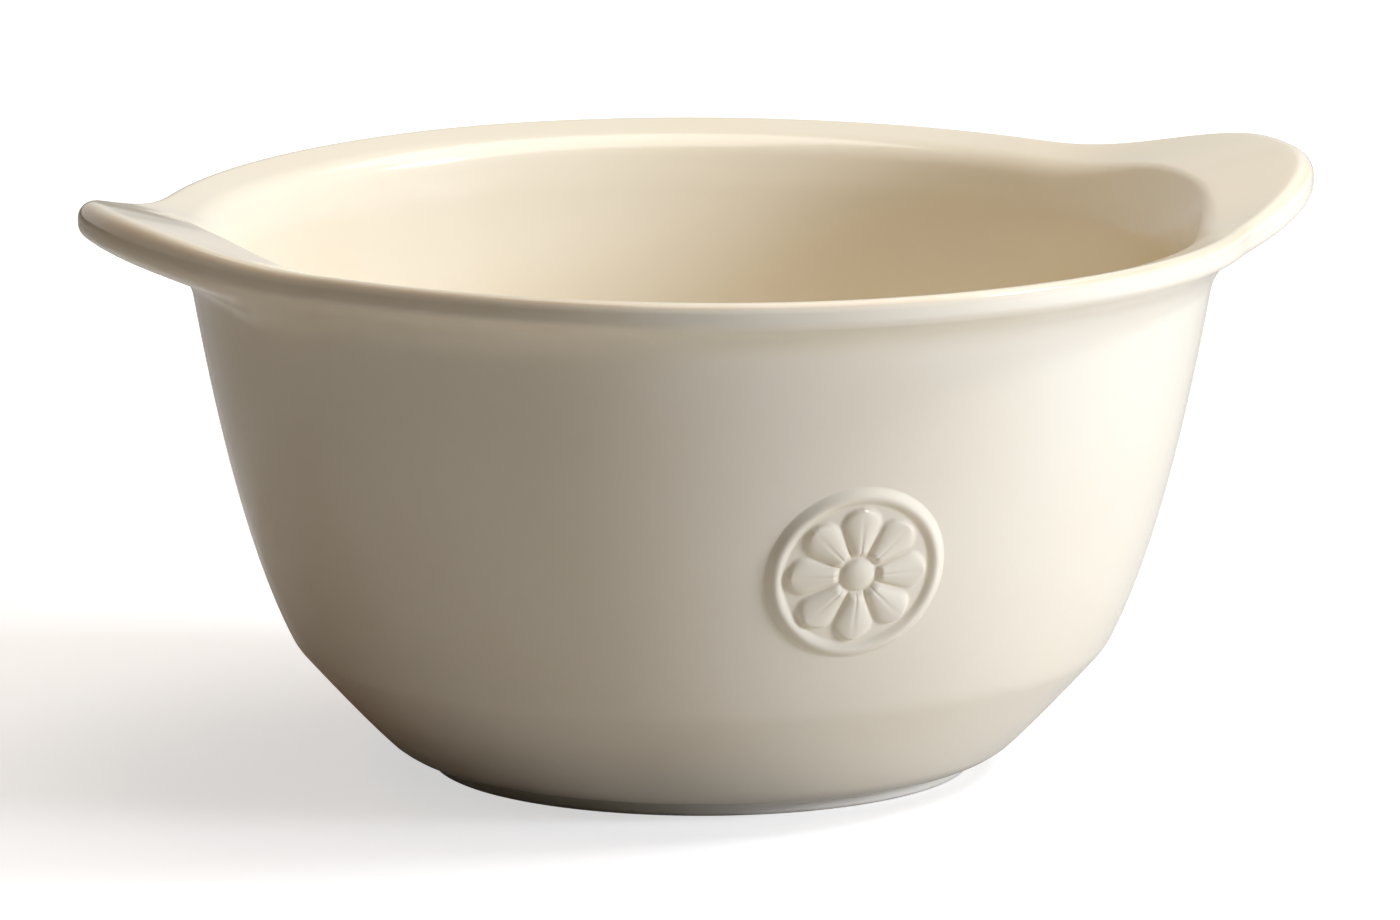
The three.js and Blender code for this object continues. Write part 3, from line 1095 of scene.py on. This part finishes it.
    def build(self, glaze: bpy.types.Material) -> bpy.types.Object:
        """Model and dress the relief.

        Args:
            glaze: The glaze's material.

        Returns:
            The finished piece.
        """
        front = np.stack([np.linspace(0, self.edge_radius, self.rings), np.zeros(self.rings)], axis=1)
        back = np.array([[self.edge_radius, -self.depth], [0.0, -self.depth]])
        seal = turned(self.name, np.vstack([front, back]), self.sectors)
        flat = places_of(seal)
        radius = np.hypot(flat[:, 0], flat[:, 1])
        angle = np.arctan2(flat[:, 1], flat[:, 0])
        axes = self.axes()
        on_wall = self.wall_above_plane(flat[:, 0], flat[:, 1], axes)
        height = on_wall + np.where(flat[:, 2] < 0, flat[:, 2], self.relief(radius, angle))
        move_to(seal, self.in_frame(flat[:, 0], flat[:, 1], height, axes))
        soften(seal, self.soft_factor, self.soft_rounds)
        seal.data.materials.append(glaze)
        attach(seal, BODY)
        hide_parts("seal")
        return seal


@dataclass(frozen=True)
class SoftBox:
    """Rectangular lamp that looks at the bowl from a bearing and an elevation, in degrees.

    A lamp that is not mirrored lights the glaze without showing in its gloss.
    """

    name: str
    bearing: float
    elevation: float
    distance: float
    width: float
    height: float
    power: float
    colour: Colour
    mirrored: bool = True

    def place(self, aim: Vector) -> None:
        """Add the lamp and turn it to what it lights."""
        back = looking_back(self.bearing, self.elevation)
        bpy.ops.object.light_add(type="AREA", location=aim + back * self.distance)
        lamp = bpy.context.object
        lamp.name = self.name
        lamp.rotation_euler = back.to_track_quat("Z", "Y").to_euler()
        lamp.data.shape = "RECTANGLE"
        lamp.data.size = self.width
        lamp.data.size_y = self.height
        lamp.data.energy = self.power
        lamp.data.color = self.colour
        lamp.visible_glossy = self.mirrored


def looking_back(bearing: float, elevation: float) -> Vector:
    """Give the direction from the bowl to something at a bearing from -Y and an elevation, in degrees."""
    around = math.radians(bearing)
    up = math.radians(elevation)
    return Vector((math.sin(around) * math.cos(up), -math.cos(around) * math.cos(up), math.sin(up)))


@dataclass(frozen=True)
class Studio:
    """Pale floor, soft lamps and the photograph's viewpoint, with angles in degrees and the lens in mm."""

    camera_bearing: float = -19.0
    camera_elevation: float = 10.95
    camera_distance: float = 1.8
    camera_lens: float = 347.1
    camera_reach: float = 20.0
    aim_height: float = 0.0407
    aim_left: float = 0.0002
    floor_size: float = 8.0
    sky: Colour = (1.0, 0.88, 0.74)
    sky_strength: float = 0.02
    glossy_share: float = 0.65
    lamps: tuple[SoftBox, ...] = (
        SoftBox(
            "key_lamp", bearing=50.0, elevation=17.0, distance=0.80, width=0.22, height=0.16, power=3.4,
            colour=(0.92, 1.03, 1.29), mirrored=False,
        ),
        SoftBox(
            "low_lamp", bearing=56.0, elevation=3.0, distance=0.80, width=0.26, height=0.10, power=1.0,
            colour=(0.94, 1.03, 1.32), mirrored=False,
        ),
        SoftBox(
            "high_lamp", bearing=66.0, elevation=44.0, distance=0.80, width=0.16, height=0.07, power=2.0,
            colour=(0.93, 1.02, 1.18),
        ),
        SoftBox(
            "top_lamp", bearing=85.0, elevation=77.0, distance=0.60, width=0.60, height=0.60, power=2.9,
            colour=(0.98, 0.96, 0.90),
        ),
        SoftBox(
            "fill_lamp", bearing=-105.0, elevation=58.0, distance=0.90, width=0.30, height=0.30, power=0.45,
            colour=(1.0, 0.46, 0.16), mirrored=False,
        ),
    )

    @property
    def aim(self) -> Vector:
        """Point that the lamps light, on the bowl's axis."""
        return Vector((0.0, 0.0, self.aim_height))

    def set_floor(self) -> None:
        """Lay the floor."""
        bpy.ops.object.select_all(action="DESELECT")
        bpy.ops.mesh.primitive_plane_add(size=self.floor_size)
        floor = bpy.context.object
        floor.name = "studio_floor"
        floor.data.materials.append(FloorFinish().material())

    def set_sky(self) -> None:
        """Make the world: a weak warm light that shows as white."""
        world = bpy.data.worlds.new("studio_sky")
        bpy.context.scene.world = world
        world.use_nodes = True
        tree = world.node_tree
        tree.nodes.clear()
        light = tree.nodes.new("ShaderNodeBackground")
        light.inputs["Color"].default_value = (*self.sky, 1.0)
        light.inputs["Strength"].default_value = self.sky_strength
        white = tree.nodes.new("ShaderNodeBackground")
        white.inputs["Color"].default_value = WHITE
        either = tree.nodes.new("ShaderNodeMixShader")
        tree.links.new(shown_rays(tree, self.glossy_share), either.inputs[0])
        tree.links.new(light.outputs[0], either.inputs[1])
        tree.links.new(white.outputs[0], either.inputs[2])
        output = tree.nodes.new("ShaderNodeOutputWorld")
        tree.links.new(either.outputs[0], output.inputs["Surface"])

    def set_camera(self) -> None:
        """Put the camera at the photograph's viewpoint."""
        back = looking_back(self.camera_bearing, self.camera_elevation)
        left = Vector((back.y, -back.x, 0.0)).normalized()
        bpy.ops.object.camera_add(location=self.aim + left * self.aim_left + back * self.camera_distance)
        camera = bpy.context.object
        camera.name = "photo_camera"
        camera.rotation_euler = back.to_track_quat("Z", "Y").to_euler()
        camera.data.lens = self.camera_lens
        camera.data.clip_end = self.camera_reach
        bpy.context.scene.camera = camera

    def build(self) -> None:
        """Set up the floor, the sky, the lamps and the camera."""
        self.set_floor()
        self.set_sky()
        for lamp in self.lamps:
            lamp.place(self.aim)
        self.set_camera()
        bpy.context.scene.view_settings.view_transform = "Standard"


def main() -> None:
    """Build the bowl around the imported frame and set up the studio."""
    logging.basicConfig(level=logging.INFO, format="%(message)s")
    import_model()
    section = BowlSection.from_frame()
    glaze = GlazeFinish().material()
    pieces = (
        GlazedBowl(section).build(glaze),
        FootRing.from_frame().build(FootFinish().material()),
        RosetteSeal.from_frame(section).build(glaze),
    )
    for piece in pieces:
        LOG.info("%s: %d faces", piece.name, len(piece.data.polygons))
    Studio().build()


if __name__ == "__main__":
    main()
